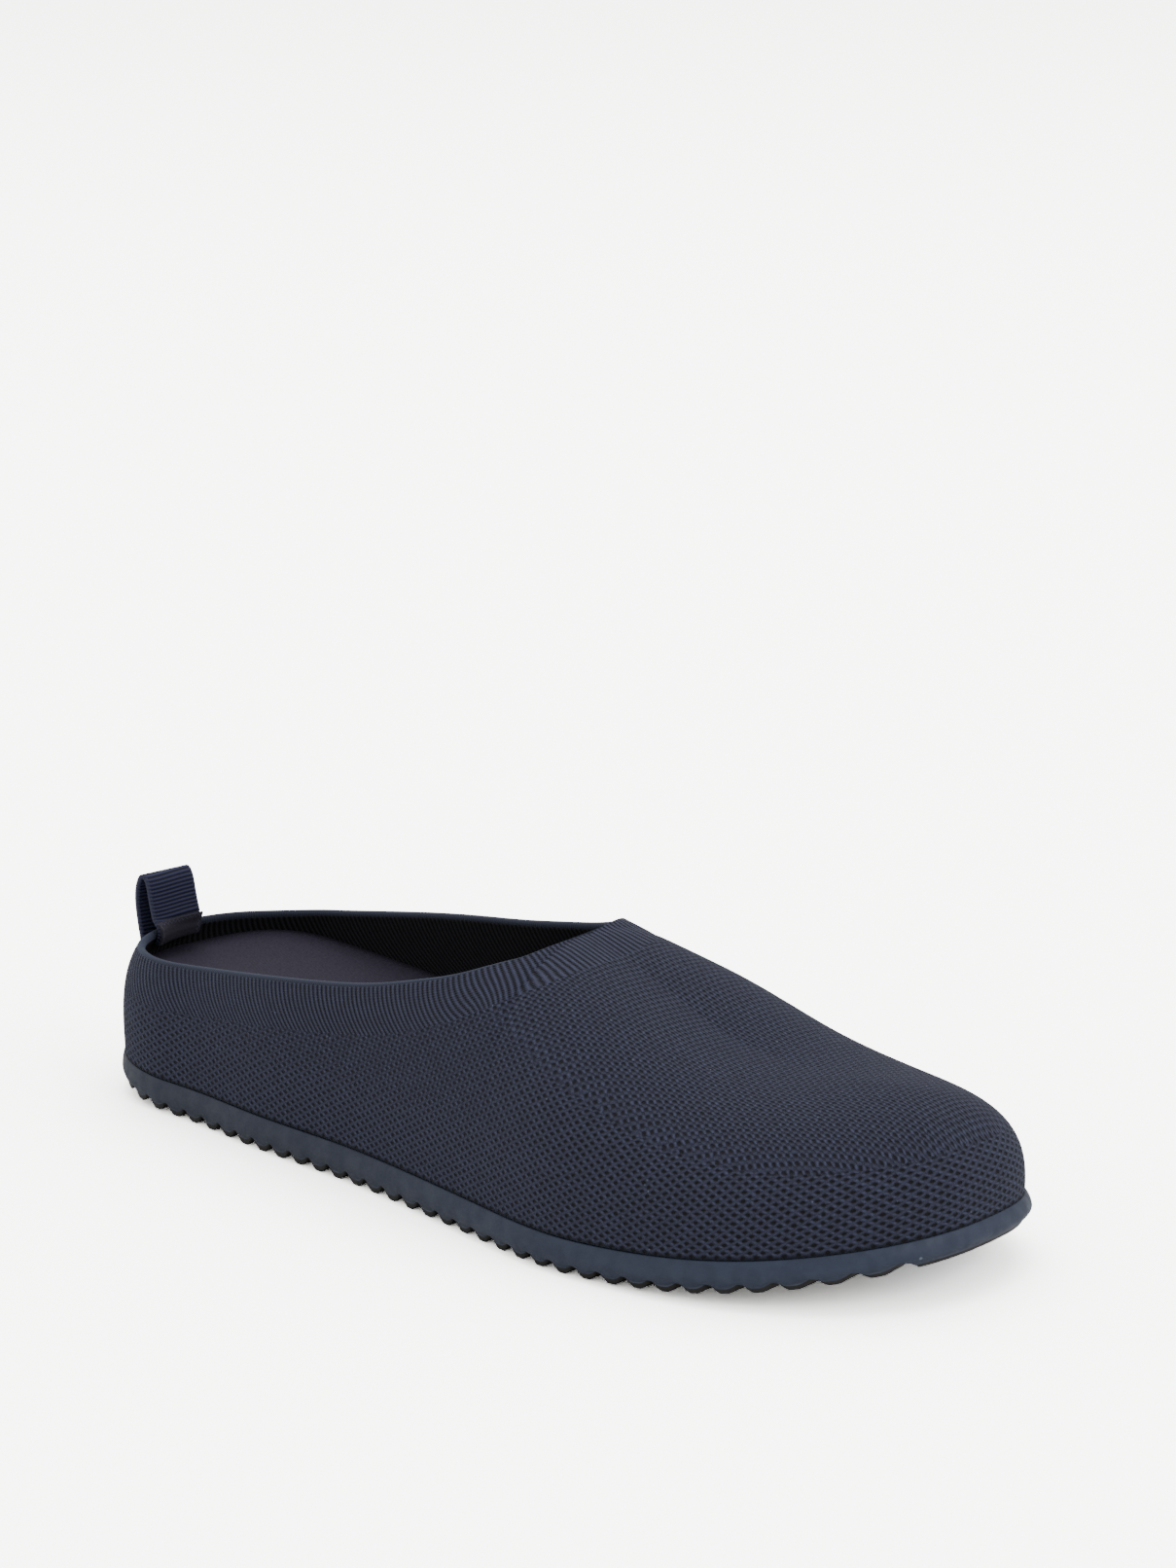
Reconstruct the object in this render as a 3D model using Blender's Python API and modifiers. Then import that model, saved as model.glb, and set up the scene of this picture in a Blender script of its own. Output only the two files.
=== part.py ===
"""Knitted slipper for the right foot: a low-backed slip-on with a collar that opens over the instep.

Metres, +Z up, +X to the toe, -Y the outer (lateral) side. The middle of the footprint is the origin,
and Z = 0 is the floor under the sole's ribs.
"""

import math

import bmesh
import bpy
import numpy as np

# Main sizes of the shoe, in metres
LENGTH = 0.2640            # sole, heel to toe
BALL_WIDTH = 0.0980        # sole across the ball of the foot
INSTEP_HEIGHT = 0.0640     # knit at the front of the opening, over the floor
SEAT_HEIGHT = 0.0343       # footbed's top edge at the heel, over the floor

# Sole
SOLE_TOP = 0.0085          # seat of the upper, over the floor
TOE_SPRING = 0.0087        # how far the toe's end is lifted
TOE_SPRING_FROM = 0.66     # share of the length where the lift starts
HEEL_KICK = 0.0030         # lift of the heel's end
HEEL_KICK_LENGTH = 0.0400
HEEL_ROUND = 0.0327        # length of the outline's round at the heel
TOE_ROUND = 0.0710         # length of the outline's round at the toe
TOE_SQUARENESS = 2.45      # 2 is an ellipse, more is fuller at the corners
TOE_SHIFT = 0.0068         # toe's end, towards the inner side
TOE_SHIFT_FROM = 0.60      # share of the length where it starts
RIB_PITCH = 0.0070
RIB_DEPTH = 0.0030         # notch between two ribs, over their crests
RIB_FLAT = 0.0016          # worn flat on each rib's crest
RIB_ROUND = 1.5            # power of the ribs' flanks: 1 is a plain V between them
FIRST_NOTCH = 0.0103       # from the heel's end
LEDGE = 0.00175            # sole beyond the foot of the upper, from the waist forwards
UNDERCUT = 0.0040          # how far the sole's side turns in beneath its lip, at the waist

# Upper
WALL = 0.0022              # knit and its lining
TOP_LINE_FROM = 0.0330     # last's top line starts this far from the heel's end
TOP_LINE_STOP = 0.0355     # and ends this far from the toe's end

# Footbed
CUP_DEPTH = 0.0028         # hollow of the heel seat

# Pull loop and its tape
RIBBON_WIDTH = 0.0142
RIBBON_THICK = 0.0011
RIBBON_TURN = 9.0          # degrees that the free ribbon is turned, medial edge forwards
LOOP_SIDE = -0.0020        # middle of the ribbon, towards the outer side
LOOP_RISE = 0.0136         # top of the loop over the rim
LOOP_BACK = 0.0032         # back of the loop behind the rim's outer edge
LOOP_DROP = 0.0105         # outer leg below the rim
LOOP_SEWN = 0.0050         # length of the outer leg that is sewn down
LOOP_TUCK = 0.0038         # inner leg below the rim
TAPE_WIDTH = 0.0152
TAPE_THICK = 0.0005
TAPE_RISE = 0.0022         # top edge of the tape over the rim

GAP = 0.0003               # clearance between pieces that meet
STATIONS = 42              # sections from heel to toe
RINGS = 11                 # rows from the sole to the collar

# Sole outline: half widths as shares of the ball width, at shares of the length.
# The last rows are shares of the ledge, of the undercut and of the sole's thickness.
OUTLINE = {
    "along":   (0.00, 0.13, 0.25, 0.37, 0.48, 0.58, 0.67, 0.76, 0.86, 1.00),
    "lateral": (0.360, 0.313, 0.356, 0.385, 0.434, 0.491, 0.534, 0.530, 0.515, 0.454),
    "medial":  (0.330, 0.343, 0.340, 0.327, 0.345, 0.407, 0.461, 0.456, 0.453, 0.446),
    "ledge":   (0.390, 0.620, 0.880, 1.000, 1.000, 1.000, 1.000, 1.000, 1.000, 1.000),
    "under":   (1.30, 1.05, 0.90, 0.90, 1.05, 1.45, 1.60, 1.75, 2.05, 2.00),
    "thick":   (0.86, 1.00, 1.00, 1.00, 1.00, 1.00, 1.00, 1.00, 0.95, 0.80),
}

# Side of the sole, top to bottom: insets as shares of the ledge and the undercut, height as one
# of the seat's height
SOLE_SIDE = {
    "ledge":  (0.85, 0.62, 0.25, 0.00, 0.00, 0.00, 0.00, 0.00, 0.00),
    "under":  (0.00, 0.00, 0.00, 0.00, 0.04, 0.14, 0.32, 0.60, 1.00),
    "height": (1.00, 0.93, 0.76, 0.54, 0.40, 0.28, 0.17, 0.08, 0.00),
}

# Last's top line: height as a share of the instep height, at shares of its own length
TOP_LINE = {
    "along":  (0.00, 0.18, 0.34, 0.47, 0.59, 0.68, 0.78, 0.90, 1.00),
    "height": (0.761, 1.037, 1.195, 1.130, 0.992, 0.886, 0.755, 0.678, 0.677),
}

# Cross-sections: 2 is an ellipse and more is boxier; bulge is fullness as a share of the half width
SECTION = {
    "along":    (0.00, 0.15, 0.32, 0.60, 1.00),
    "exponent": (2.76, 2.72, 2.54, 2.54, 2.53),
    "bulge":    (0.047, 0.040, 0.032, 0.028, 0.023),
}

# Collar: lean of the surface, in degrees round the cross-section, at which the knit ends
COLLAR = {
    "along":   (0.000, 0.050, 0.100, 0.160, 0.240, 0.320, 0.400, 0.460, 0.510, 0.550, 0.575, 0.590),
    "lateral": (42.0, 35.8, 31.2, 28.8, 28.3, 29.4, 34.0, 41.1, 50.6, 63.4, 77.0, 90.0),
    "medial":  (42.0, 35.5, 32.7, 31.4, 31.2, 32.4, 36.0, 41.6, 50.6, 65.0, 79.0, 90.0),
}
THROAT = COLLAR["along"][-1]

# Footbed's top edge over the floor, as a share of the seat height, and how much of the cup it has
FOOTBED = {
    "along":   (0.00, 0.03, 0.10, 0.20, 0.30, 0.45, 0.60, 0.75, 1.00),
    "lateral": (0.955, 1.00, 0.985, 0.920, 0.840, 0.684, 0.557, 0.508, 0.488),
    "medial":  (0.955, 1.00, 0.995, 0.943, 0.885, 0.750, 0.587, 0.508, 0.488),
    "cup":     (0.00, 0.60, 1.00, 1.00, 1.00, 0.60, 0.20, 0.00, 0.00),
}

# Free part of the pull loop: how far behind the rim and how high over it, as shares of the loop's sizes
LOOP = {
    "along": (0.00, 0.12, 0.24, 0.36, 0.47, 0.54, 0.62, 0.74, 0.87, 1.00),
    "back":  (0.74, 0.93, 1.00, 0.83, 0.50, 0.21, -0.15, -0.43, -0.66, -0.90),
    "up":    (0.00, 0.29, 0.58, 0.82, 0.97, 1.00, 0.92, 0.69, 0.43, 0.21),
}


def column(table, name, at):
    """Value of a table's column at the shares `at`, on a natural cubic through its rows."""
    x = np.asarray(table["along"], float)
    y = np.asarray(table[name], float)
    step = np.diff(x)
    slope = np.diff(y) / step
    rows = np.eye(len(x))
    right = np.zeros(len(x))
    for i in range(1, len(x) - 1):
        rows[i, i - 1:i + 2] = step[i - 1], 2 * (step[i - 1] + step[i]), step[i]
        right[i] = 6 * (slope[i] - slope[i - 1])
    bend = np.linalg.solve(rows, right)
    at = np.clip(np.asarray(at, float), x[0], x[-1])
    k = np.clip(np.searchsorted(x, at, side="right") - 1, 0, len(x) - 2)
    low = at - x[k]
    high = x[k + 1] - at
    cubic = (bend[k] * high**3 + bend[k + 1] * low**3) / (6 * step[k])
    line = (y[k] / step[k] - bend[k] * step[k] / 6) * high
    return cubic + line + (y[k + 1] / step[k] - bend[k + 1] * step[k] / 6) * low


def toe_lift(x):
    """Lift of the sole over the floor by its toe spring."""
    share = np.clip((x / LENGTH - TOE_SPRING_FROM) / (1 - TOE_SPRING_FROM), 0, None)
    return TOE_SPRING * share**2


def rise(x):
    """Lift of the sole over the floor, by toe spring and heel kick."""
    return toe_lift(x) + HEEL_KICK * np.clip(1 - x / HEEL_KICK_LENGTH, 0, None) ** 2


def centre(x):
    """Sideways place of the last's middle line, which swings inwards at the toe."""
    return TOE_SHIFT * np.clip((x / LENGTH - TOE_SHIFT_FROM) / (1 - TOE_SHIFT_FROM), 0, None) ** 2


def outline(x, side):
    """Y of the sole's outermost edge at x, on the lateral or the medial side."""
    half = BALL_WIDTH * column(OUTLINE, side, x / LENGTH)
    back = np.clip(1 - x / HEEL_ROUND, 0, 1)
    front = np.clip((x - (LENGTH - TOE_ROUND)) / TOE_ROUND, 0, 1)
    round_off = np.sqrt(1 - back**2) * (1 - front**TOE_SQUARENESS) ** (1 / TOE_SQUARENESS)
    return centre(x) + (half if side == "medial" else -half) * round_off


def stations():
    """Shares of the length at which sections are taken, closer at heel, throat and toe."""
    back = int(STATIONS * THROAT)
    share = (1 - np.cos(np.linspace(0, math.pi, back + 1))) / 2
    rest = (1 - np.cos(np.linspace(0, math.pi, STATIONS - back))) / 2
    return np.concatenate([THROAT * share, THROAT + (1 - THROAT) * rest[1:]])


def sole_bottom(x):
    """Height of the sole's underside between its rounded sides, where it thins towards its ends."""
    return rise(x) + SOLE_TOP * (1 - np.minimum(column(OUTLINE, "thick", x / LENGTH), 1))


def loop_of(ledge, under=0.0):
    """Sole outline moved inwards by shares of ledge and undercut: lateral to the toe, medial back."""
    x = LENGTH * stations()
    lateral = np.stack([x, outline(x, "lateral")], 1)
    medial = np.stack([x, outline(x, "medial")], 1)
    loop = np.concatenate([lateral, medial[-2:0:-1]])
    run = np.roll(loop, -1, axis=0) - np.roll(loop, 1, axis=0)
    run /= np.linalg.norm(run, axis=1)[:, None]
    share = loop[:, 0] / LENGTH
    inwards = ledge * LEDGE * column(OUTLINE, "ledge", share)
    inwards += under * UNDERCUT * column(OUTLINE, "under", share)
    return loop - inwards[:, None] * np.stack([run[:, 1], -run[:, 0]], 1)


def last_frame():
    """Foot of the upper and the top line over it, one row for each point of the loop."""
    foot = loop_of(1.0)
    across = foot[-np.arange(len(foot)), 0]
    along = np.clip(((foot[:, 0] + across) / 2 - LEDGE) / (LENGTH - 2 * LEDGE), 0, 1)
    low = SOLE_TOP + GAP + rise(foot[:, 0])
    top_x = TOP_LINE_FROM + (LENGTH - TOP_LINE_STOP - TOP_LINE_FROM) * along
    top_z = INSTEP_HEIGHT * column(TOP_LINE, "height", along)
    return foot, along, low, top_x, top_z


def last_row(lean):
    """Points of the upper's outer surface, where the cross-section has reached the angle `lean`."""
    foot, along, low, top_x, top_z = last_frame()
    power = 2 / column(SECTION, "exponent", along)
    out = np.cos(lean) ** power * (1 + column(SECTION, "bulge", along) * np.sin(2 * lean))
    x = top_x + (foot[:, 0] - top_x) * out
    y = centre(top_x) + (foot[:, 1] - centre(top_x)) * out
    return np.stack([x, y, low + (top_z - low) * np.sin(lean) ** power], -1)


def inner_row(lean, inset):
    """The same points moved square to the surface, inwards."""
    step = 0.01
    up = last_row(lean + step) - last_row(np.maximum(lean - step, 0))
    here = last_row(lean)
    run = np.roll(here, -1, axis=0) - np.roll(here, 1, axis=0)
    out = np.cross(run, up)
    out /= np.linalg.norm(out, axis=1)[:, None]
    return here - inset * out


def lean_at(height):
    """Angle at which the surface reaches this height over the floor."""
    _foot, along, low, _top_x, top_z = last_frame()
    share = np.clip((height - low) / (top_z - low), 0, 1)
    return np.arcsin(share ** (column(SECTION, "exponent", along) / 2))


def by_side(table, along):
    """Table values for each loop point, from its own side's column."""
    half = len(along) // 2
    values = column(table, "lateral", along)
    values[half + 1:] = column(table, "medial", along)[half + 1:]
    return values


def collar_lean():
    """Angle at which the knit ends, for each loop point; over the toes it meets the top line."""
    along = last_frame()[1]
    return np.radians(np.where(along < THROAT, by_side(COLLAR, along), 90.0))


def material(name, colour, roughness, metallic=0.0):
    made = bpy.data.materials.new(name)
    made.use_nodes = True
    shader = made.node_tree.nodes["Principled BSDF"]
    shader.inputs["Base Color"].default_value = (*colour, 1)
    shader.inputs["Roughness"].default_value = roughness
    shader.inputs["Metallic"].default_value = metallic
    return made


def new_object(name, bm, finish, collection):
    """Object of a bmesh, moved so that the middle of the footprint is the origin."""
    edge = loop_of(0.0)[:, 1]
    middle = (edge.min() + edge.max()) / 2
    bmesh.ops.translate(bm, verts=bm.verts, vec=(-LENGTH / 2, -middle, 0))
    mesh = bpy.data.meshes.new(name)
    bm.to_mesh(mesh)
    bm.free()
    mesh.shade_smooth()
    mesh.set_sharp_from_angle(angle=math.radians(35))
    made = bpy.data.objects.new(name, mesh)
    if finish:
        mesh.materials.append(finish)
    collection.objects.link(made)
    return made


def ring_of(bm, points):
    """Vertices of one closed row."""
    return [bm.verts.new(point) for point in points]


def band(bm, low, high):
    """Faces between two closed rows of as many vertices, facing out for rows that run anticlockwise."""
    for i in range(len(low)):
        j = (i + 1) % len(low)
        bm.faces.new((low[i], low[j], high[j], high[i]))


def across(bm, row, points, upwards):
    """Closes a row with strips from its lateral to its medial side, through the inner `points`."""
    half = len(row) // 2
    lines = [[row[0]]]
    for i in range(1, half):
        lines.append([row[i], *(bm.verts.new(point) for point in points(i)), row[-i]])
    lines.append([row[half]])
    for first, second in zip(lines, lines[1:]):
        strip(bm, first, second, upwards)


def strip(bm, first, second, upwards):
    """Faces between two open rows, either of which may be one point."""
    count = max(len(first), len(second)) - 1
    for k in range(count):
        corners = [first[min(k, len(first) - 1)], second[min(k, len(second) - 1)]]
        corners += [second[min(k + 1, len(second) - 1)], first[min(k + 1, len(first) - 1)]]
        face = [corner for i, corner in enumerate(corners) if corner not in corners[:i]]
        bm.faces.new(face if upwards else face[::-1])


def make_outsole(collection, cutters):
    """Moulded sole: stacked outlines for its rounded side, notched from below into cross ribs."""
    bm = bmesh.new()
    rows = []
    for ledge, under, height in list(zip(*SOLE_SIDE.values()))[::-1]:
        x, y = loop_of(ledge, under).T
        z = sole_bottom(x) + height * (rise(x) + SOLE_TOP - sole_bottom(x))
        rows.append(ring_of(bm, zip(x, y, z)))
    for low, high in zip(rows, rows[1:]):
        band(bm, low, high)
    across(bm, rows[0], lambda i: [], False)
    across(bm, rows[-1], lambda i: [], True)
    colour = (0.036, 0.062, 0.105)
    sole = new_object("outsole", bm, material("sole_rubber", colour, 0.55), collection)
    cut = sole.modifiers.new("cross_ribs", "BOOLEAN")
    cut.operation = "DIFFERENCE"
    cut.object = rib_notches(cutters)
    return sole


def rib_notches(collection):
    """Cutters between the ribs: the two sides of a notch are the round flanks of its neighbours."""
    bm = bmesh.new()
    half = (RIB_PITCH - RIB_FLAT) / 2
    flank = [(half * (share - 1), RIB_DEPTH * share**RIB_ROUND) for share in np.linspace(0, 1, 4)]
    profile = [(-half, -RIB_DEPTH), *flank, *((-px, pz) for px, pz in flank[-2::-1]), (half, -RIB_DEPTH)]
    for x in np.arange(FIRST_NOTCH, LENGTH - RIB_FLAT, RIB_PITCH):
        near = [bm.verts.new((x + px, -BALL_WIDTH, sole_bottom(x) + pz)) for px, pz in profile]
        far = [bm.verts.new((x + px, BALL_WIDTH, sole_bottom(x) + pz)) for px, pz in profile]
        band(bm, near, far)
        bm.faces.new(near)
        bm.faces.new(far[::-1])
    bmesh.ops.recalc_face_normals(bm, faces=bm.faces)
    made = new_object("rib_notches", bm, None, collection)
    made.hide_render = True
    made.display_type = "WIRE"
    return made


def make_upper(collection):
    """Knitted shell: one surface from the sole to the collar, closed over the toes, given a wall."""
    top = collar_lean()
    bm = bmesh.new()
    rows = [ring_of(bm, last_row(top * k / RINGS)) for k in range(RINGS + 1)]
    for low, high in zip(rows, rows[1:]):
        band(bm, low, high)
    bmesh.ops.remove_doubles(bm, verts=bm.verts, dist=0.00002)
    colour = (0.022, 0.027, 0.050)
    upper = new_object("upper", bm, material("knit", colour, 0.85), collection)
    wall = upper.modifiers.new("wall", "SOLIDIFY")
    wall.thickness = WALL
    wall.offset = -1
    wall.use_even_offset = True
    return upper


def make_insole(collection):
    """Cushioned footbed that fills the bottom of the upper: thick and cupped at the heel."""
    foot, along, _low, _top_x, _top_z = last_frame()
    edge = SEAT_HEIGHT * by_side(FOOTBED, along) + toe_lift(foot[:, 0])
    reach = lean_at(edge)
    levels = 5
    bm = bmesh.new()
    rows = [ring_of(bm, inner_row(reach * k / levels, WALL + 1.2 * GAP)) for k in range(levels + 1)]
    for low, high in zip(rows, rows[1:]):
        band(bm, low, high)
    top = [vert.co.copy() for vert in rows[-1]]
    cup = CUP_DEPTH * column(FOOTBED, "cup", along)

    def hollow(i):
        for share in np.linspace(-1, 1, 7)[1:-1]:
            point = (top[i] + top[-i]) / 2 + (top[-i] - top[i]) / 2 * share
            point.z -= cup[i] * (1 - share**2)
            yield point

    across(bm, rows[0], lambda i: [], False)
    across(bm, rows[-1], hollow, True)
    colour = (0.030, 0.024, 0.042)
    return new_object("insole", bm, material("footbed_cloth", colour, 0.8), collection)


def heel_wall(y, z, inset):
    """X of the heel's wall at this width and height, `inset` inwards of its outer surface."""
    found = []
    for lean in np.linspace(0, 1, 16) * collar_lean()[0]:
        row = inner_row(np.full(len(collar_lean()), lean), inset)
        back = row[row[:, 0] < LENGTH / 4]
        back = back[np.argsort(back[:, 1])]
        found.append([np.interp(y, back[:, 1], back[:, i]) for i in (0, 2)])
    found = np.array(found)
    return np.interp(z, found[:, 1], found[:, 0])


def ribbon_path(y):
    """Points (x, z) of the ribbon's line at the width y, from its outer end to its inner one."""
    rim = last_row(collar_lean())[0]
    clear = GAP + RIBBON_THICK / 2
    points = []
    for drop in np.linspace(LOOP_DROP, LOOP_DROP - LOOP_SEWN, 5):
        z = rim[2] - drop
        points.append((heel_wall(y, z, -clear), z))
    turn = (y - LOOP_SIDE) * math.tan(math.radians(RIBBON_TURN))
    for share in np.linspace(0, 1, 19):
        back = LOOP_BACK * column(LOOP, "back", share)
        points.append((rim[0] - back + turn, rim[2] + LOOP_RISE * column(LOOP, "up", share)))
    for drop in np.linspace(0, LOOP_TUCK, 4):
        z = rim[2] - drop
        points.append((heel_wall(y, z, WALL + clear), z))
    return np.array(points)


def make_strap(name, thick, lines, finish, collection):
    """A flat band: one line of points for each of its widths, given a thickness."""
    bm = bmesh.new()
    rows = [[bm.verts.new((x, y, z)) for x, z in line] for y, line in lines]
    for first, second in zip(rows, rows[1:]):
        strip(bm, first, second, True)
    made = new_object(name, bm, finish, collection)
    body = made.modifiers.new("thickness", "SOLIDIFY")
    body.thickness = thick
    body.offset = 0
    body.use_even_offset = True
    return made


def make_pull_loop(collection):
    """Ribbed ribbon sewn outside the heel, looped over the rim and stuck inside it."""
    widths = LOOP_SIDE + np.linspace(-RIBBON_WIDTH / 2, RIBBON_WIDTH / 2, 7)
    lines = [(y, ribbon_path(y)) for y in widths]
    finish = material("ribbon", (0.028, 0.030, 0.085), 0.6)
    return make_strap("pull_loop", RIBBON_THICK, lines, finish, collection)


def make_heel_tape(collection):
    """Thin tape stuck over the ribbon's inner end, following the ribbon."""
    rim = last_row(collar_lean())[0]
    levels = np.linspace(rim[2] + TAPE_RISE, rim[2] - LOOP_TUCK, 14)
    offset = RIBBON_THICK / 2 + GAP + TAPE_THICK / 2
    lines = []
    for y in LOOP_SIDE + np.linspace(-TAPE_WIDTH / 2, TAPE_WIDTH / 2, 7):
        path = ribbon_path(y)
        inner = path[np.argmax(path[:, 1]):]
        run = np.gradient(inner, axis=0)
        square = np.stack([-run[:, 1], run[:, 0]], 1) / np.linalg.norm(run, axis=1)[:, None]
        inner = (inner + offset * square)[::-1]
        lines.append((y, [(np.interp(z, inner[:, 1], inner[:, 0]), z) for z in levels]))
    finish = material("heel_tape", (0.018, 0.014, 0.028), 0.7)
    return make_strap("heel_tape", TAPE_THICK, lines, finish, collection)


def clear_scene():
    for old in list(bpy.data.objects):
        bpy.data.objects.remove(old)


def new_collection(name):
    made = bpy.data.collections.new(name)
    bpy.context.scene.collection.children.link(made)
    return made


clear_scene()
slipper = new_collection("knitted_slipper")
helpers = new_collection("cutters")
helpers.hide_render = True
make_outsole(slipper, helpers)
make_upper(slipper)
make_insole(slipper)
make_pull_loop(slipper)
make_heel_tape(slipper)
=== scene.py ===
import math

import bmesh
import bpy
import numpy as np
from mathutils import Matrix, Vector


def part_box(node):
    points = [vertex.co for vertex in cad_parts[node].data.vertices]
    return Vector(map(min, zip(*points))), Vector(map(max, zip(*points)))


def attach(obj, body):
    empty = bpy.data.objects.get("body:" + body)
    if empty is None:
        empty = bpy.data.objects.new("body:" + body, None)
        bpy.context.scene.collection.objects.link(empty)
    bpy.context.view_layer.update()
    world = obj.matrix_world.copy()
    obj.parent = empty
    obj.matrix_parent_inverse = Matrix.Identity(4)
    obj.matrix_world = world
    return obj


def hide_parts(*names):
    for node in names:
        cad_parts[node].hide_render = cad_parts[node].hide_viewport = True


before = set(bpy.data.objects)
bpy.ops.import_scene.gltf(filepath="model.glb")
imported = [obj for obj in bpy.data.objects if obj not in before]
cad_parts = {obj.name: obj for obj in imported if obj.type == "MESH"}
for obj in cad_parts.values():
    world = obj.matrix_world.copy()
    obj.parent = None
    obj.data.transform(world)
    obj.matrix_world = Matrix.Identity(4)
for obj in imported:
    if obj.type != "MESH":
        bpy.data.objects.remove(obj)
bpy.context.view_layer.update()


# Studio: a plain pale floor under broad soft lights. The camera looks down on the outer side of the
# shoe from before the toe, as in the photograph.
FLOOR_WIDTH = 24.0
floor_bm = bmesh.new()
bmesh.ops.create_grid(floor_bm, x_segments=1, y_segments=1, size=FLOOR_WIDTH / 2)
floor_mesh = bpy.data.meshes.new("floor")
floor_bm.to_mesh(floor_mesh)
floor_bm.free()
floor = bpy.data.objects.new("floor", floor_mesh)
bpy.context.scene.collection.objects.link(floor)
floor_paper = bpy.data.materials.new("floor_paper")
floor_paper.use_nodes = True
paper_tree = floor_paper.node_tree
paper_shader = paper_tree.nodes["Principled BSDF"]
paper_shader.inputs["Roughness"].default_value = 0.9
paper_shader.inputs["Specular IOR Level"].default_value = 0.0
# Seen directly, the paper is overexposed, as the pale backdrop of a product photograph is
seen = paper_tree.nodes.new("ShaderNodeLightPath")
paper = paper_tree.nodes.new("ShaderNodeMix")
paper.data_type = "RGBA"
paper.inputs[6].default_value = (0.84, 0.84, 0.82, 1)
paper.inputs[7].default_value = (5.2, 5.2, 5.1, 1)
paper_tree.links.new(seen.outputs["Is Camera Ray"], paper.inputs[0])
paper_tree.links.new(paper.outputs[2], paper_shader.inputs["Base Color"])
floor_mesh.materials.append(floor_paper)

room = bpy.data.worlds.new("studio_room")
room.use_nodes = True
room.node_tree.nodes["Background"].inputs["Color"].default_value = (1.0, 0.995, 0.98, 1)
room.node_tree.nodes["Background"].inputs["Strength"].default_value = 0.95
bpy.context.scene.world = room


def studio_lamp(name, place, size, power, aim=(0.0, 0.0, 0.02)):
    """Square soft light at `place`, facing the shoe."""
    lamp = bpy.data.lights.new(name, "AREA")
    lamp.size = size
    lamp.energy = power
    made = bpy.data.objects.new(name, lamp)
    away = np.subtract(place, aim)
    flat = math.hypot(away[0], away[1])
    made.location = place
    made.rotation_euler = (math.atan2(flat, away[2]), 0, math.atan2(away[1], away[0]) + math.pi / 2)
    bpy.context.scene.collection.objects.link(made)


studio_lamp("top_light", (-0.5, 0.6, 2.6), 2.6, 39)
studio_lamp("front_light", (2.2, 0.2, 1.5), 1.4, 14)

camera_lens = bpy.data.cameras.new("camera")
camera_lens.sensor_fit = "VERTICAL"
camera_lens.sensor_height = 36.0
camera_lens.lens = 107.2
camera_lens.clip_end = 100.0
camera = bpy.data.objects.new("camera", camera_lens)
camera.location = (0.70947, -0.81301, 0.38875)
camera.rotation_euler = (math.radians(74.946), math.radians(0.138), math.radians(40.349))
bpy.context.scene.collection.objects.link(camera)
bpy.context.scene.camera = camera


# Outsole: one moulding of matt blue foamed rubber, 8.5 mm thick, with a rounded lip all round its
# side. Cross ribs with round flanks run over its underside and scallop the lower edge.
sole_low, sole_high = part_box("outsole")
LENGTH = sole_high[0] - sole_low[0]
BALL_WIDTH = 0.0980
SOLE_TOP = 0.0085
TOE_SPRING = 0.0087
TOE_SPRING_FROM = 0.66
HEEL_KICK = 0.0030
HEEL_KICK_LENGTH = 0.0400
HEEL_ROUND = 0.0327
TOE_ROUND = 0.0710
TOE_SQUARENESS = 2.45
TOE_SHIFT = 0.0068
TOE_SHIFT_FROM = 0.60
RIB_PITCH = 0.0070
RIB_DEPTH = 0.0030
RIB_FLAT = 0.0016
RIB_ROUND = 1.5
FIRST_NOTCH = 0.0103
LEDGE = 0.00175
UNDERCUT = 0.0040
SPINE_HEEL = 0.014
SPINE_TOE = 0.024
# Height up from the underside of the painted near-black shade under the ribs
PAINTED_SHADE_HEIGHT = 0.0015
# Half widths are shares of the ball width; the last rows are shares of ledge, undercut and thickness
OUTLINE = {
    "along":   (0.00, 0.13, 0.25, 0.37, 0.48, 0.58, 0.67, 0.76, 0.86, 1.00),
    "lateral": (0.360, 0.313, 0.356, 0.385, 0.434, 0.491, 0.534, 0.530, 0.515, 0.454),
    "medial":  (0.330, 0.343, 0.340, 0.327, 0.345, 0.407, 0.461, 0.456, 0.453, 0.446),
    "ledge":   (0.390, 0.620, 0.880, 1.000, 1.000, 1.000, 1.000, 1.000, 1.000, 1.000),
    "under":   (1.30, 1.05, 0.90, 0.90, 1.05, 1.45, 1.60, 1.75, 2.05, 2.00),
    "thick":   (0.86, 1.00, 1.00, 1.00, 1.00, 1.00, 1.00, 1.00, 0.95, 0.80),
}
# Side of the sole, top to bottom
SOLE_SIDE = {
    "along":  (0.00, 0.12, 0.28, 0.44, 0.58, 0.69, 0.79, 0.89, 1.00),
    "ledge":  (0.85, 0.62, 0.25, 0.00, 0.00, 0.00, 0.00, 0.00, 0.00),
    "under":  (0.00, 0.00, 0.00, 0.00, 0.04, 0.12, 0.20, 0.26, 0.32),
    "height": (1.00, 0.93, 0.76, 0.54, 0.40, 0.28, 0.18, 0.05, 0.00),
}


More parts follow.
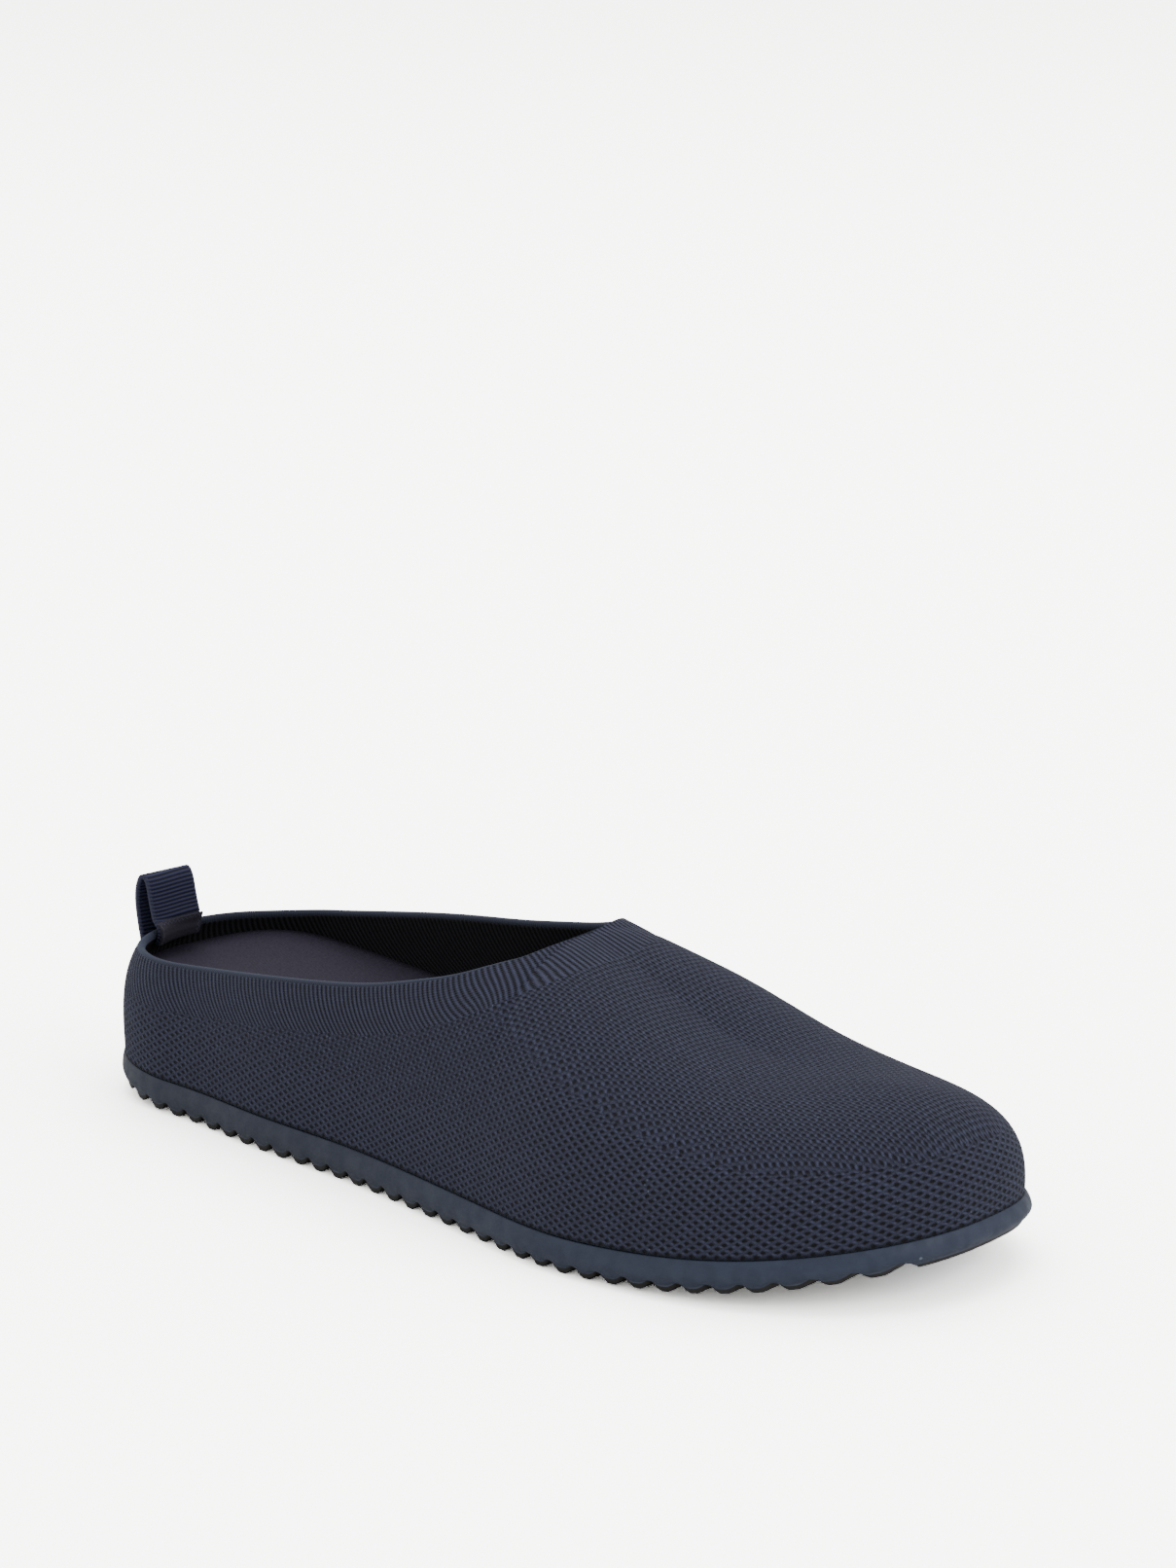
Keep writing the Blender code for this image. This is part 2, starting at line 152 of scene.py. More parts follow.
def column(table, name, at):
    """Value of a table's column at the shares `at`, on a natural cubic through its rows."""
    x = np.asarray(table["along"], float)
    y = np.asarray(table[name], float)
    step = np.diff(x)
    slope = np.diff(y) / step
    rows = np.eye(len(x))
    right = np.zeros(len(x))
    for i in range(1, len(x) - 1):
        rows[i, i - 1:i + 2] = step[i - 1], 2 * (step[i - 1] + step[i]), step[i]
        right[i] = 6 * (slope[i] - slope[i - 1])
    bend = np.linalg.solve(rows, right)
    at = np.clip(np.asarray(at, float), x[0], x[-1])
    k = np.clip(np.searchsorted(x, at, side="right") - 1, 0, len(x) - 2)
    low = at - x[k]
    high = x[k + 1] - at
    cubic = (bend[k] * high**3 + bend[k + 1] * low**3) / (6 * step[k])
    line = (y[k] / step[k] - bend[k] * step[k] / 6) * high
    return cubic + line + (y[k + 1] / step[k] - bend[k + 1] * step[k] / 6) * low


def toe_lift(x):
    share = np.clip((x / LENGTH - TOE_SPRING_FROM) / (1 - TOE_SPRING_FROM), 0, None)
    return TOE_SPRING * share**2


def rise(x):
    return toe_lift(x) + HEEL_KICK * np.clip(1 - x / HEEL_KICK_LENGTH, 0, None) ** 2


def centre(x):
    return TOE_SHIFT * np.clip((x / LENGTH - TOE_SHIFT_FROM) / (1 - TOE_SHIFT_FROM), 0, None) ** 2


def outline(x, medial):
    """Y of the sole's outermost edge, where `medial` says which side of the foot it is."""
    half = BALL_WIDTH * np.where(medial, column(OUTLINE, "medial", x / LENGTH),
                                 -column(OUTLINE, "lateral", x / LENGTH))
    back = np.clip(1 - x / HEEL_ROUND, 0, 1)
    front = np.clip((x - (LENGTH - TOE_ROUND)) / TOE_ROUND, 0, 1)
    return centre(x) + half * np.sqrt(1 - back**2) * (1 - front**TOE_SQUARENESS) ** (1 / TOE_SQUARENESS)


def ring_of(stations):
    """Stations on both sides of the foot: out along the lateral side, home along the medial one."""
    x = np.concatenate([stations, stations[-2:0:-1]])
    return x, np.arange(len(x)) >= len(stations)


def loop_of(ring, ledge, under=0.0):
    """Sole outline moved inwards by shares of the ledge and of the undercut."""
    x, medial = ring
    loop = np.stack([x, outline(x, medial)], 1)
    run = np.roll(loop, -1, axis=0) - np.roll(loop, 1, axis=0)
    run /= np.linalg.norm(run, axis=1)[:, None]
    inwards = ledge * LEDGE * column(OUTLINE, "ledge", x / LENGTH)
    inwards += under * UNDERCUT * column(OUTLINE, "under", x / LENGTH)
    return loop - inwards[:, None] * np.stack([run[:, 1], -run[:, 0]], 1)


def even_stations(count):
    """Stations from heel to toe, evenly spaced along the outline."""
    x = LENGTH * (1 - np.cos(np.linspace(0, math.pi, 4 * count))) / 2
    steps = np.hypot(np.diff(x), np.diff(outline(x, np.zeros(len(x), bool))))
    run = np.concatenate([[0], np.cumsum(steps)])
    return np.interp(np.linspace(0, run[-1], count), run, x)


footprint = loop_of(ring_of(even_stations(400)), 0.0)
MIDDLE = np.array([LENGTH / 2, (footprint[:, 1].min() + footprint[:, 1].max()) / 2, 0])


def sole_bottom(x):
    return rise(x) + SOLE_TOP * (1 - np.minimum(column(OUTLINE, "thick", x / LENGTH), 1))


def notch_height(x, over):
    """Lift of the underside between two round ribs, which fades where the side is `over` the crests."""
    half = (RIB_PITCH - RIB_FLAT) / 2
    off = np.abs((x - FIRST_NOTCH + RIB_PITCH / 2) % RIB_PITCH - RIB_PITCH / 2)
    inside = np.clip(1 - off / half, 0, 1) * (x > FIRST_NOTCH - half) * (x < LENGTH - RIB_PITCH)
    return inside**RIB_ROUND * np.clip(RIB_DEPTH - over, 0, None)


def grid_piece(name, points, maps, closed):
    """Piece made from a grid whose corners go to points[i, j]; `maps` gives UV maps their values there."""
    columns, rows = points.shape[0] - 1, points.shape[1] - 1
    bm = bmesh.new()
    bmesh.ops.create_grid(bm, x_segments=columns, y_segments=rows, size=0.5)
    mesh = bpy.data.meshes.new(name)
    bm.to_mesh(mesh)
    bm.free()
    place = np.empty(len(mesh.vertices) * 3)
    mesh.vertices.foreach_get("co", place)
    i = np.rint((place[0::3] + 0.5) * columns).astype(int)
    j = np.rint((place[1::3] + 0.5) * rows).astype(int)
    mesh.vertices.foreach_set("co", (points - MIDDLE)[i, j].ravel())
    corner = np.empty(len(mesh.loops), np.int32)
    mesh.loops.foreach_get("vertex_index", corner)
    for layer, values in maps.items():
        uv = mesh.uv_layers.new(name=layer)
        uv.data.foreach_set("uv", values[i, j][corner].ravel())
    if closed:
        bm = bmesh.new()
        bm.from_mesh(mesh)
        bmesh.ops.remove_doubles(bm, verts=bm.verts, dist=0.000002)
        bm.to_mesh(mesh)
        bm.free()
    mesh.shade_smooth()
    made = bpy.data.objects.new(name, mesh)
    bpy.context.scene.collection.objects.link(made)
    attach(made, "root")
    return made


def closed_row(points):
    """A row with its first point again at its end, for a grid that closes on itself."""
    return np.concatenate([points, points[:1]])


def moulded_sole():
    """Outsole as one grid: over its top, down its side, and inwards along its ribbed underside."""
    heel = FIRST_NOTCH * (1 - np.cos(np.linspace(0, math.pi / 2, 44)))[:-1]
    last_notch = FIRST_NOTCH + RIB_PITCH * math.floor((LENGTH - RIB_PITCH - FIRST_NOTCH) / RIB_PITCH)
    ribbed = np.arange(FIRST_NOTCH, last_notch + RIB_PITCH / 40, RIB_PITCH / 20)
    toe = LENGTH - (LENGTH - last_notch) * np.sin(np.linspace(math.pi / 2, 0, 40))[1:]
    ring = ring_of(np.concatenate([heel, ribbed, toe]))
    x = ring[0]
    bottom = sole_bottom(x)
    top = rise(x) + SOLE_TOP
    inwards_x = np.clip(x, SPINE_HEEL, LENGTH - SPINE_TOE)
    spine = np.stack([inwards_x, centre(inwards_x)], 1)
    rows = []
    for share in (0, 0.5, 0.95):
        edge = spine + (loop_of(ring, 0.85) - spine) * share
        rows.append(np.column_stack([edge, top]))
    for at in np.linspace(0, 1, 26):
        ledge = max(column(SOLE_SIDE, "ledge", at), 0)
        edge = loop_of(ring, ledge, max(column(SOLE_SIDE, "under", at), 0))
        z = bottom + column(SOLE_SIDE, "height", at) * (top - bottom)
        rows.append(np.column_stack([edge, z]))
    under = loop_of(ring, 0.0, SOLE_SIDE["under"][-1])
    for share in np.linspace(1, 0, 12)[1:]:
        rows.append(np.column_stack([spine + (under - spine) * share, bottom]))
    over = [np.maximum(row[:, 2] - sole_bottom(row[:, 0]), 0) for row in rows]
    for row, height in zip(rows[3:], over[3:]):
        row[:, 2] += notch_height(row[:, 0], height)
    rows = [closed_row(row) for row in rows[::-1]]
    over = np.stack([closed_row(height) for height in over[::-1]], 1) * 1000
    return grid_piece("outsole_rubber", np.stack(rows, 1), {"side": np.stack([over, over], -1)}, True)


def new_material(name, colour, roughness):
    """Material, with its node tree and its Principled shader."""
    made = bpy.data.materials.new(name)
    made.use_nodes = True
    shader = made.node_tree.nodes["Principled BSDF"]
    shader.inputs["Base Color"].default_value = (*colour, 1)
    shader.inputs["Roughness"].default_value = roughness
    return made, made.node_tree, shader


def add_node(tree, kind, inputs=(), **settings):
    """Node with its settings; inputs are pairs of a socket and a value or another node's output."""
    node = tree.nodes.new(kind)
    for name, value in settings.items():
        setattr(node, name, value)
    for socket, value in inputs:
        if isinstance(value, bpy.types.NodeSocket):
            tree.links.new(value, node.inputs[socket])
        else:
            node.inputs[socket].default_value = value
    return node


def map_parts(tree, name):
    """X and Y of one of the piece's own maps."""
    own = add_node(tree, "ShaderNodeUVMap", uv_map=name).outputs[0]
    return add_node(tree, "ShaderNodeSeparateXYZ", [(0, own)]).outputs


def noise(tree, place, scale, detail):
    """Noise with `scale` cells to the metre."""
    return add_node(tree, "ShaderNodeTexNoise", [("Vector", place), ("Scale", scale), ("Detail", detail)])


def bump(tree, shader, height, strength, depth):
    """Relief of the surface, from a height of 0 to about 1 for `depth` metres."""
    relief = add_node(tree, "ShaderNodeBump",
                      [("Height", height), ("Strength", strength), ("Distance", depth)])
    tree.links.new(relief.outputs[0], shader.inputs["Normal"])


def sums(tree, operation, first, second=0.0, third=0.0):
    """Output of one Math node."""
    node = add_node(tree, "ShaderNodeMath", operation=operation)
    for socket, value in enumerate((first, second, third)):
        if isinstance(value, bpy.types.NodeSocket):
            tree.links.new(value, node.inputs[socket])
        else:
            node.inputs[socket].default_value = value
    return node.outputs[0]


def ramp(tree, value, low, high, to_low=0.0, to_high=1.0):
    """Smooth step of a value from one range to another."""
    node = add_node(tree, "ShaderNodeMapRange", [("Value", value), ("From Min", low), ("From Max", high),
                    ("To Min", to_low), ("To Max", to_high)], interpolation_type="SMOOTHSTEP")
    return node.outputs["Result"]


def blend(tree, factor, first, second):
    """Mix of two colours."""
    node = add_node(tree, "ShaderNodeMix", data_type="RGBA")
    for socket, value in ((0, factor), (6, first), (7, second)):
        if isinstance(value, bpy.types.NodeSocket):
            tree.links.new(value, node.inputs[socket])
        elif socket:
            node.inputs[socket].default_value = (*value, 1)
        else:
            node.inputs[socket].default_value = value
    return node.outputs[2]


def rubber_finish():
    """Matt blue rubber, painted paler to the toe as light from the front, mottled and specked, with painted
    near-black shade under the ribs and a pale line along their crests, partly painted highlight and partly
    mould flash.
    """
    made, tree, shader = new_material("sole_rubber_skin", (0.05, 0.085, 0.15), 0.6)
    place = add_node(tree, "ShaderNodeTexCoord").outputs["Object"]
    parts = add_node(tree, "ShaderNodeSeparateXYZ", [(0, place)])
    # The rubber is painted paler towards the toe: painted light falling on the front of the sole.
    forwards = ramp(tree, parts.outputs["X"], -0.08, 0.13)
    colour = blend(tree, forwards, (0.0105, 0.0164, 0.0375), (0.0150, 0.0255, 0.0570))
    mottle = noise(tree, place, 260.0, 3.0).outputs[0]
    colour = blend(tree, ramp(tree, mottle, 0.35, 0.7, 0.0, 0.35), colour, (0.012, 0.018, 0.038))
    specks = add_node(tree, "ShaderNodeTexVoronoi", [("Vector", place), ("Scale", 170.0)])
    speck = ramp(tree, specks.outputs["Distance"], 0.10, 0.04)
    rare = noise(tree, place, 75.0, 1.0).outputs[0]
    speck = sums(tree, "MULTIPLY", speck, ramp(tree, rare, 0.57, 0.63))
    colour = blend(tree, speck, colour, (0.12, 0.15, 0.20))
    # Millimetres above the painted near-black shade under the ribs, which covers the ribs' crests
    over = sums(tree, "SUBTRACT", map_parts(tree, "side")["X"], PAINTED_SHADE_HEIGHT * 1000)
    # A pale line just above the painted shade along the ribs' crests: partly a painted highlight on the
    # crest edge and partly a thin mould flash line.
    crest = sums(tree, "MULTIPLY", ramp(tree, over, -0.05, 0.20), ramp(tree, over, 0.55, 0.25))
    crest = sums(tree, "MULTIPLY", crest, ramp(tree, mottle, 0.40, 0.60, 0.1, 0.8))
    colour = blend(tree, crest, colour, (0.065, 0.082, 0.120))
    # Painted shade: near-black below that height, standing for the dark contact shade under the sole
    colour = blend(tree, ramp(tree, over, 0.12, -0.08), colour, (0.003, 0.003, 0.004))
    tree.links.new(colour, shader.inputs["Base Color"])
    grain = noise(tree, place, 1500.0, 2.0).outputs[0]
    bump(tree, shader, sums(tree, "ADD", sums(tree, "MULTIPLY", grain, 0.35), mottle), 0.25, 0.0004)
    tree.links.new(ramp(tree, mottle, 0.3, 0.7, 0.5, 0.68), shader.inputs["Roughness"])
    return made


outsole = moulded_sole()
outsole.data.materials.append(rubber_finish())
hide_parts("outsole")


# Upper: a seamless sock of navy pique knit, drawn over a last and bonded down onto the sole, with a
# smooth dark lining. Its collar band is knitted finer, with its wales square to the rim.
INSTEP_HEIGHT = 0.0640
WALL = 0.0022
GAP = 0.0003
TOP_LINE_FROM = 0.0330
TOP_LINE_STOP = 0.0355
BAND_WIDTH = 0.0115
BAND_BEND = 0.0045
WALE = 0.0015
COURSE = 0.00062
EDGE_POINTS = 700
EDGE_EASE = 7
CELL_ROW = 0.00100
CELL_FLAT = 0.00145
SLANT = 0.13
# Spacing of the columns of holes along the foot of the upper
CELLS = {
    "along":  (0.00, 0.15, 0.35, 0.60, 0.80, 0.92, 1.00),
    "column": (0.00145, 0.00146, 0.00150, 0.00150, 0.00150, 0.00165, 0.00195),
}
TOP_LINE = {
    "along":  (0.00, 0.18, 0.34, 0.47, 0.59, 0.68, 0.78, 0.90, 1.00),
    "height": (0.761, 1.037, 1.195, 1.130, 0.992, 0.886, 0.755, 0.678, 0.677),
}
SECTION = {
    "along":    (0.00, 0.15, 0.32, 0.60, 1.00),
    "exponent": (2.76, 2.72, 2.54, 2.54, 2.53),
    "bulge":    (0.047, 0.040, 0.032, 0.028, 0.023),
}
COLLAR = {
    "along":   (0.000, 0.050, 0.100, 0.160, 0.240, 0.320, 0.400, 0.460, 0.510, 0.550, 0.575, 0.584),
    "lateral": (42.0, 35.8, 31.2, 28.8, 28.3, 29.4, 34.0, 41.6, 51.5, 64.3, 79.3, 90.0),
    "medial":  (42.0, 35.5, 32.7, 31.4, 31.4, 33.0, 37.0, 43.2, 51.8, 66.5, 83.0, 90.0),
}
THROAT = COLLAR["along"][-1]
THROAT_DROP = 0.0003
THROAT_EASE = 0.008


def last_frame(ring):
    """Foot of the upper and the last's top line over it, one row for each point of the ring."""
    foot = loop_of(ring, 1.0)
    across = foot[-np.arange(len(foot)), 0]
    along = np.clip(((foot[:, 0] + across) / 2 - LEDGE) / (LENGTH - 2 * LEDGE), 0, 1)
    low = SOLE_TOP + GAP + rise(foot[:, 0])
    top_x = TOP_LINE_FROM + (LENGTH - TOP_LINE_STOP - TOP_LINE_FROM) * along
    top_z = INSTEP_HEIGHT * column(TOP_LINE, "height", along)
    top_z -= THROAT_DROP * np.exp(-((along - THROAT) / THROAT_EASE) ** 2)
    return foot, along, low, top_x, top_z


def last_row(ring, lean):
    """Points of the upper's outer surface, where the cross-section has reached the angle `lean`."""
    foot, along, low, top_x, top_z = last_frame(ring)
    power = 2 / column(SECTION, "exponent", along)
    out = np.clip(np.cos(lean), 0, 1) ** power * (1 + column(SECTION, "bulge", along) * np.sin(2 * lean))
    x = top_x + (foot[:, 0] - top_x) * out
    y = centre(top_x) + (foot[:, 1] - centre(top_x)) * out
    return np.stack([x, y, low + (top_z - low) * np.sin(lean) ** power], -1)


def inner_row(ring, lean, inset):
    """The same points moved square to the surface, inwards."""
    up = last_row(ring, lean + 0.01) - last_row(ring, np.maximum(lean - 0.01, 0))
    here = last_row(ring, lean)
    out = np.cross(np.roll(here, -1, axis=0) - np.roll(here, 1, axis=0), up)
    return here - inset * out / np.linalg.norm(out, axis=1)[:, None]


def by_side(ring, table, along):
    return np.where(ring[1], column(table, "medial", along), column(table, "lateral", along))


def collar_lean(ring):
    along = last_frame(ring)[1]
    return np.radians(np.where(along < THROAT, by_side(ring, COLLAR, along), 90.0))


def arc_lengths(points, axis):
    """Distance run along one axis of a grid of points."""
    steps = np.linalg.norm(np.diff(points, axis=axis), axis=2)
    start = np.zeros_like(np.take(steps, [0], axis=axis))
    return np.concatenate([start, np.cumsum(steps, axis=axis)], axis=axis)


def evenly_up(fine, up, stop, count):
    """Rows at even distances up each line of a fine grid, ending `stop` short of the line's end."""
    rows = np.empty((len(fine), count, 3))
    for line, run, end, made in zip(fine, up, stop, rows):
        at = np.linspace(0, run[-1] - end, count)
        for axis in range(3):
            made[:, axis] = np.interp(at, run, line[:, axis])
    return rows


def unit(vectors):
    return vectors / np.maximum(np.linalg.norm(vectors, axis=-1, keepdims=True), 1e-9)


def smooth(value, low, high):
    """Smooth step of an array of values from one end of a range to the other."""
    share = np.clip((value - low) / (high - low), 0, 1)
    return share * share * (3 - 2 * share)


def rim_distances(shell, along):
    """Each point's distance from the collar's edge, and the wale that reaches it from there.

    The edge is taken at EDGE_POINTS even steps, with its corners eased over EDGE_EASE of them.
    """
    rim = shell[:-1, -1][along[:-1] <= THROAT]
    rim = np.concatenate([rim, rim[:1]])
    run = np.concatenate([[0], np.cumsum(np.linalg.norm(np.diff(rim, axis=0), axis=1))])
    at = np.linspace(0, run[-1], EDGE_POINTS, endpoint=False)
    edge = np.stack([np.interp(at, run, rim[:, axis]) for axis in range(3)], 1)
    edge = sum(np.roll(edge, shift, axis=0) for shift in range(-EDGE_EASE, EDGE_EASE + 1))
    edge /= 2 * EDGE_EASE + 1
    heading = unit(np.roll(edge, -1, axis=0) - np.roll(edge, 1, axis=0))
    home = np.arange(len(shell)) > len(shell) / 2
    away = np.empty(shell.shape[:2])
    reached = np.empty(shell.shape[:2])
    for j in range(shell.shape[1]):
        apart = shell[:, j, None] - edge
        gap = np.linalg.norm(apart, axis=2)
        nearest = gap.argmin(axis=1)
        past = (apart[np.arange(len(shell)), nearest] * heading[nearest]).sum(axis=1)
        past = np.clip(past, -at[1], at[1])
        spot = at[nearest] + past
        spot += run[-1] * (home & (spot < run[-1] / 4))
        spot -= run[-1] * (~home & (spot > run[-1] * 3 / 4))
        away[:, j] = np.sqrt(np.maximum(gap.min(axis=1) ** 2 - past**2, 0))
        reached[:, j] = spot * round(run[-1] / WALE) / run[-1]
    return away, reached


def knit_maps(shell, along):
    """Maps of the shell: `body` and `flat` in knit cells, `band` in wales and millimetres, `zone`."""
    height = arc_lengths(shell, 1)
    foot_step = np.linalg.norm(np.diff(shell[:, 0], axis=0), axis=1)
    wide = column(CELLS, "column", (along[1:] + along[:-1]) / 2)
    cells = np.concatenate([[0], np.cumsum(foot_step / wide)])
    cells *= 2 * round(cells[-1] / 2) / cells[-1]
    side = np.sin(2 * math.pi * cells / cells[-1])[:, None]
    rows = height / CELL_ROW
    body = np.stack([cells[:, None] - SLANT * side * rows, rows], -1)
    flat = shell[..., :2] / (CELL_FLAT, CELL_ROW)
    below_rim, wales = rim_distances(shell, along)
    lean = np.clip(4 * side, -1, 1) * BAND_BEND * (below_rim / BAND_WIDTH) ** 2
    lean *= 1 - smooth(along, 0.53, THROAT)[:, None]
    band = np.stack([wales - lean / WALE, below_rim * 1000], -1)
    run = np.roll(shell[:-1], -1, axis=0) - np.roll(shell[:-1], 1, axis=0)
    up = np.gradient(shell[:-1], axis=1)
    upright = unit(np.cross(run, up))[..., 2]
    upright = np.concatenate([upright, upright[:1]])
    # The knit is open low at the sides and round the toe, closer up the heel and over the vamp
    openness = 1 - 0.5 * smooth(height, 0.010, 0.026) * (1 - smooth(along, 0.50, 0.72))[:, None]
    openness *= 1 - 0.7 * smooth(upright, 0.45, 0.90)
    zone = np.stack([smooth(upright, 0.52, 0.76), openness], -1)
    return {"body": body, "flat": flat, "band": band, "zone": zone}


def knitted_shell():
    """Outer face of the upper, from the sole to the fold of the collar or the top line."""
    ring = ring_of(even_stations(230))
    top = collar_lean(ring)
    fine = np.stack([last_row(ring, top * k / 160) for k in range(161)], 1)
    up = arc_lengths(fine, 1)
    along = last_frame(ring)[1]
    fold = WALL / 2 * np.clip((THROAT + 0.002 - along) / 0.01, 0, 1)
    shell = evenly_up(fine, up, fold, 66)
    shell = np.concatenate([shell, shell[:1]])
    return grid_piece("upper_knit", shell, knit_maps(shell, closed_row(along)), True), ring


def knit_group():
    """Node group: a pique lattice on a map in cells, with a hole at every second crossing."""
    group = bpy.data.node_groups.new("pique_lattice", "ShaderNodeTree")
    for name, kind in (("Map", "NodeSocketVector"), ("Openness", "NodeSocketFloat")):
        group.interface.new_socket(name, in_out="INPUT", socket_type=kind)
    for name in ("Height", "Hole", "Strand"):
        group.interface.new_socket(name, in_out="OUTPUT", socket_type="NodeSocketFloat")
    given = group.nodes.new("NodeGroupInput")
    result = group.nodes.new("NodeGroupOutput")
    parts = add_node(group, "ShaderNodeSeparateXYZ", [(0, given.outputs["Map"])])
    across = sums(group, "MULTIPLY", parts.outputs["X"], math.pi)
    up = sums(group, "MULTIPLY", parts.outputs["Y"], math.pi)
    first = sums(group, "COSINE", sums(group, "ADD", across, up))
    second = sums(group, "COSINE", sums(group, "SUBTRACT", across, up))
    crest = sums(group, "MULTIPLY", sums(group, "ADD", first, second), 0.5)
    hole = sums(group, "MULTIPLY", ramp(group, crest, 0.34, 0.64), given.outputs["Openness"])
    closed = sums(group, "MULTIPLY_ADD", given.outputs["Openness"], -0.8, 0.8)
    pit = sums(group, "MULTIPLY", ramp(group, sums(group, "ABSOLUTE", crest), 0.35, 0.85), closed)
    hole = sums(group, "MAXIMUM", hole, pit)
    over = sums(group, "POWER", sums(group, "MULTIPLY_ADD", first, -0.5, 0.5), 1.5)
    over = sums(group, "MULTIPLY", over, sums(group, "MULTIPLY_ADD", second, 0.25, 0.75))
    under = sums(group, "POWER", sums(group, "MULTIPLY_ADD", second, -0.5, 0.5), 1.5)
    strand = sums(group, "MAXIMUM", over, sums(group, "MULTIPLY", under, 0.6))
    height = sums(group, "SUBTRACT", strand, sums(group, "MULTIPLY", hole, 1.4))
    group.links.new(height, result.inputs["Height"])
    group.links.new(hole, result.inputs["Hole"])
    group.links.new(strand, result.inputs["Strand"])
    return group


pique_lattice = knit_group()


def between(tree, factor, first, second):
    """Mix of two values."""
    return add_node(tree, "ShaderNodeMix", [(0, factor), (2, first), (3, second)]).outputs[0]


def knit_finish():
    """Navy pique knit: near-black holes between strands painted paler at their tops, as painted shade and
    painted highlight, a ribbed band at the collar, lint.
    """
    made, tree, shader = new_material("navy_knit", (0.014, 0.018, 0.031), 0.85)
    shader.inputs["Sheen Weight"].default_value = 0.06
    shader.inputs["Sheen Roughness"].default_value = 0.5
    shader.inputs["Sheen Tint"].default_value = (0.45, 0.55, 0.85, 1)
    shader.inputs["Specular IOR Level"].default_value = 0.25
    place = add_node(tree, "ShaderNodeTexCoord").outputs["Object"]
    zone = map_parts(tree, "zone")
    uneven = noise(tree, place, 700.0, 1.0).outputs["Color"]
    uneven = add_node(tree, "ShaderNodeVectorMath", [(0, uneven), (1, (0.5, 0.5, 0))],
                      operation="MULTIPLY").outputs[0]
    lattices = []
    for name in ("body", "flat"):
        cells = add_node(tree, "ShaderNodeUVMap", uv_map=name).outputs[0]
        cells = add_node(tree, "ShaderNodeVectorMath", [(0, cells), (1, uneven)], operation="ADD").outputs[0]
        lattice = add_node(tree, "ShaderNodeGroup", node_tree=pique_lattice)
        tree.links.new(cells, lattice.inputs["Map"])
        tree.links.new(zone["Y"], lattice.inputs["Openness"])
        lattices.append(lattice)
    patches = noise(tree, place, 420.0, 2.0).outputs[0]
    over_top = sums(tree, "ADD", zone["X"], sums(tree, "MULTIPLY_ADD", patches, 0.5, -0.25))
    over_top = ramp(tree, over_top, 0.35, 0.65)
    height, hole, strand = [between(tree, over_top, lattices[0].outputs[name], lattices[1].outputs[name])
                            for name in ("Height", "Hole", "Strand")]
    band = map_parts(tree, "band")
    groove = sums(tree, "COSINE", sums(tree, "MULTIPLY", band["X"], 2 * math.pi))
    forwards = add_node(tree, "ShaderNodeSeparateXYZ", [(0, place)]).outputs["X"]
    dotted = sums(tree, "MAXIMUM", ramp(tree, forwards, -0.07, -0.03, 1.0, 0.35),
                  ramp(tree, forwards, -0.025, 0.005, 0.35, 1.0))
    course = sums(tree, "COSINE", sums(tree, "MULTIPLY", band["Y"], 2 * math.pi / (COURSE * 1000)))
    course = sums(tree, "MULTIPLY_ADD", course, 0.5, 0.5)
    broken = sums(tree, "MULTIPLY_ADD", course, dotted, sums(tree, "SUBTRACT", 1.0, dotted))
    # In the collar band the grooves between wales are painted dark and the wales pale, through the hole and
    # strand colours: painted shade and painted highlight.
    pit = sums(tree, "MULTIPLY", ramp(tree, groove, 0.35, 0.95), broken)
    wale = sums(tree, "MULTIPLY_ADD", groove, -0.45, 0.55)
    wale = sums(tree, "SUBTRACT", wale, sums(tree, "MULTIPLY", course, 0.2))
    edge = sums(tree, "ADD", band["Y"], sums(tree, "MULTIPLY", patches, 1.2))
    at_collar = ramp(tree, edge, BAND_WIDTH * 1000 + 1.1, BAND_WIDTH * 1000 + 0.3)
    height = between(tree, at_collar, height, sums(tree, "SUBTRACT", wale, pit))
    hole = between(tree, at_collar, hole, pit)
    strand = between(tree, at_collar, strand, wale)
    fuzz = noise(tree, place, 3200.0, 2.0).outputs[0]
    strand = sums(tree, "MULTIPLY", strand, sums(tree, "MULTIPLY_ADD", fuzz, 1.2, 0.4))
    # Each strand is painted pale at its top and dark down its sides: a painted highlight on the yarn and
    # painted shade between strands.
    colour = blend(tree, strand, (0.0040, 0.0045, 0.0100), (0.052, 0.057, 0.107))
    colour = blend(tree, ramp(tree, patches, 0.3, 0.7, 0.0, 0.35), colour, (0.020, 0.019, 0.031))
    # The lowest row of knit, where it meets the sole, is painted dark: partly the bonded edge and partly
    # painted shade in the groove along the sole.
    lowest_row = ramp(tree, map_parts(tree, "body")["Y"], 0.9, 0.3, 0.0, 0.85)
    hole = sums(tree, "MAXIMUM", hole, lowest_row)
    # The holes and the small pits of the closer knit are painted near-black: painted shade in them, over the
    # dark lining that shows through the holes.
    colour = blend(tree, sums(tree, "MULTIPLY", hole, 0.95), colour, (0.0008, 0.0009, 0.0020))
    lint = add_node(tree, "ShaderNodeTexVoronoi", [("Vector", place), ("Scale", 520.0)])
    rare = ramp(tree, noise(tree, place, 210.0, 1.0).outputs[0], 0.63, 0.68)
    fleck = sums(tree, "MULTIPLY", ramp(tree, lint.outputs["Distance"], 0.15, 0.06), rare)
    colour = blend(tree, sums(tree, "MULTIPLY", fleck, 0.5), colour, (0.16, 0.19, 0.27))
    tree.links.new(colour, shader.inputs["Base Color"])
    bump(tree, shader, sums(tree, "ADD", height, sums(tree, "MULTIPLY", fuzz, 0.5)), 1.0, 0.0005)
    return made


